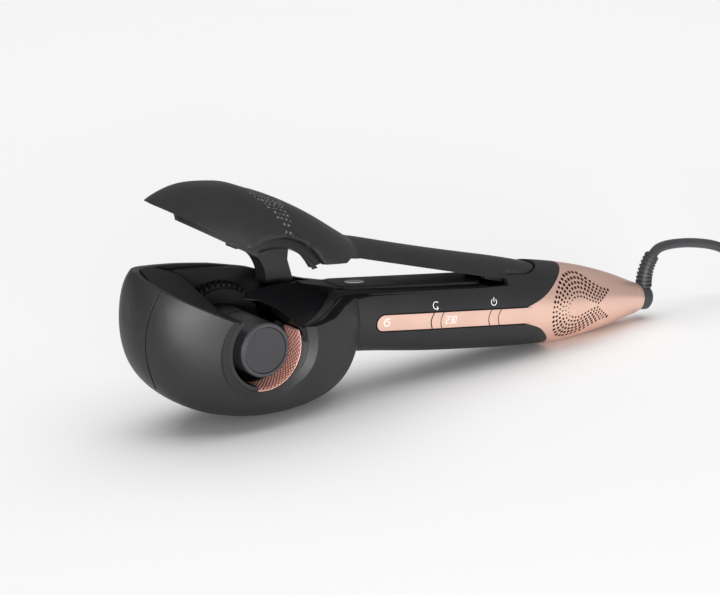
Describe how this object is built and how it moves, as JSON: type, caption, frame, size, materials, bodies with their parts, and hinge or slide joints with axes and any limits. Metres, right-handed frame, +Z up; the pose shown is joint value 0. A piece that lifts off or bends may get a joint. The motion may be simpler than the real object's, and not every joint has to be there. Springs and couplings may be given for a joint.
{
  "type": "curling iron",
  "caption": "Automatic hair curler with an egg-shaped winding head, a side-opening chamber round a fixed barrel, a sprung hinged hood, a slim handle with a trim strip, and a swivel cord.",
  "frame": {"origin": "on the surface it rests on, under the middle of the body's length and width, cord left out", "axes": "+X from nose to tail, +Z up with the hood on top, -Y the open side of the chamber"},
  "size_m": [0.5027, 0.0938, 0.1167],
  "materials": {
    "soft_touch_black": "satin soft-touch",
    "gloss_black": "gloss",
    "inner_black": "matte",
    "barrel_black": "satin",
    "rose_gold": "satin metallic",
    "rose_liner": "knurled, tinted",
    "rotor_plastic": "smooth",
    "steel": "plain",
    "heater_metal": "plain",
    "board": "solder mask",
    "switch_black": "plain",
    "pad_grey": "satin",
    "contact_brass": "plain",
    "boot_rubber": "matte",
    "cord_rubber": "satin",
    "plug_black": "satin",
    "plug_metal": "bright"
  },
  "bodies": {
    "base": {"barrel": "barrel_black", "barrel_end_disc": "barrel_black", "barrel_end_ring": "barrel_black", "barrel_hub": "inner_black", "buzzer": "switch_black", "chamber_liner": "rose_liner", "chamber_wall": "inner_black", "cord_coil": "cord_rubber", "cord_lead": "cord_rubber", "cord_tail": "cord_rubber", "cord_tie": "cord_rubber", "deck_plate": "gloss_black", "display_board": "board", "gearmotor": "steel", "guide_pocket": "gloss_black", "heater": "heater_metal", "hinge_bracket": "inner_black", "hinge_pin": "steel", "hood_spring": "steel", "housing_far": "soft_touch_black", "housing_near": "soft_touch_black", "housing_screws": "steel", "inner_deck": "gloss_black", "main_board": "board", "micro_switch": "switch_black", "nose_cap": "soft_touch_black", "plug_body": "plug_black", "plug_pins": "plug_metal", "ramp_guide": "gloss_black", "rear_cap": "rose_gold", "rear_ring": "rose_gold", "slip_contacts": "contact_brass", "strip_front": "rose_gold", "strip_middle": "rose_gold", "strip_rear": "rose_gold", "swivel_socket": "inner_black", "thermistor": "steel"},
    "hood": {"hood_shell": "soft_touch_black", "hood_insert": "gloss_black", "guide_saddle": "gloss_black", "arm_cover": "gloss_black", "hood_screws": "steel", "hinge_leaf": "inner_black"},
    "rotor": {"rotor_gear": "rotor_plastic", "rotor_hook": "rotor_plastic"},
    "pinion": {"motor_pinion": "rotor_plastic"},
    "button_curl": {"button_curl": "rose_gold"},
    "button_power": {"button_power": "rose_gold"},
    "plunger": {"switch_plunger": "pad_grey"},
    "swivel": {"swivel_collar": "boot_rubber", "cord_boot": "boot_rubber"}
  },
  "joints": [
    {"name": "hood_hinge", "type": "hinge", "parent": "base", "child": "hood", "pos_m": [0.06351, -0.0007, 0.03743], "axis": [0, -1, 0], "range_deg": [0, 8.5], "stiffness_Nm_per_rad": 0.35, "springref_deg": -34.38, "deforming": ["hood_spring"]},
    {"name": "rotor_spin", "type": "hinge", "parent": "base", "child": "rotor", "pos_m": [-0.10096, -0.0007, 0.0389], "axis": [0, 1, 0], "continuous": true},
    {"name": "pinion_spin", "type": "hinge", "parent": "base", "child": "pinion", "pos_m": [-0.08055, -0.0007, 0.01973], "axis": [0, 1, 0], "continuous": true},
    {"name": "button_curl_press", "type": "slide", "parent": "base", "child": "button_curl", "axis": [0, 1, 0], "range_m": [0, 0.0006], "stiffness_N_per_m": 600, "springref_m": -0.001},
    {"name": "button_power_press", "type": "slide", "parent": "base", "child": "button_power", "axis": [0, 1, 0], "range_m": [0, 0.0006], "stiffness_N_per_m": 600, "springref_m": -0.001},
    {"name": "plunger_press", "type": "slide", "parent": "base", "child": "plunger", "axis": [-0.1426, 0, -0.9898], "range_m": [0, 0.0012], "stiffness_N_per_m": 400, "springref_m": -0.001},
    {"name": "cord_swivel", "type": "hinge", "parent": "base", "child": "swivel", "pos_m": [0.14763, -0.0007, 0.01116], "axis": [0.9898, 0, -0.1426], "range_deg": [-60, 60]}
  ],
  "couplings": [
    {"joint": "pinion_spin", "follows": "rotor_spin", "ratio": -3.6667}
  ]
}
